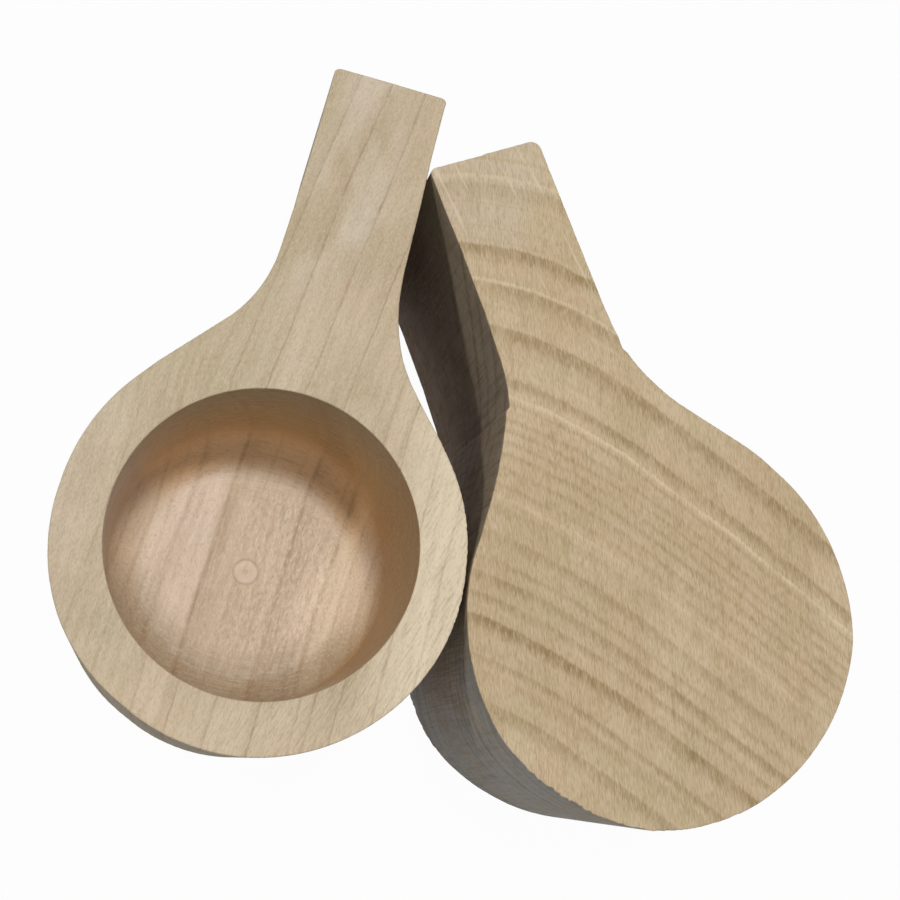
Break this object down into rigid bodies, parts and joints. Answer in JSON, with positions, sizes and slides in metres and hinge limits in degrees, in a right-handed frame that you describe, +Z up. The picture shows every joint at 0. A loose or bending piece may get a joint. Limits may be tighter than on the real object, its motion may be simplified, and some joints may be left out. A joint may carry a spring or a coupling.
{
  "type": "kuksa cups",
  "caption": "Roughed-out wooden kuksa cups with a bored, flat-bottomed bowl and a straight thick handle, lying side by side, face up and face down.",
  "frame": {"origin": "on the table, at the underside of the face-up kuksa, below its bowl's centre", "axes": "+Z up, +Y along the face-up kuksa's handle from bowl to handle end"},
  "size_m": [0.2052, 0.1784, 0.0776],
  "materials": {
    "planed_wood": "bare pale hardwood, planed smooth on its face and turned smooth in the bowl",
    "sawn_wood": "bare pale hardwood, left rough from the saw on its underside"
  },
  "bodies": {
    "face_up": {"kuksa_face_up": "planed_wood"},
    "face_down": {"kuksa_face_down": "sawn_wood"}
  },
  "joints": [
    {"name": "face_down_lift", "type": "slide", "parent": "face_up", "child": "face_down", "axis": [0, 0, 1], "range_m": [0, 0.09]}
  ]
}
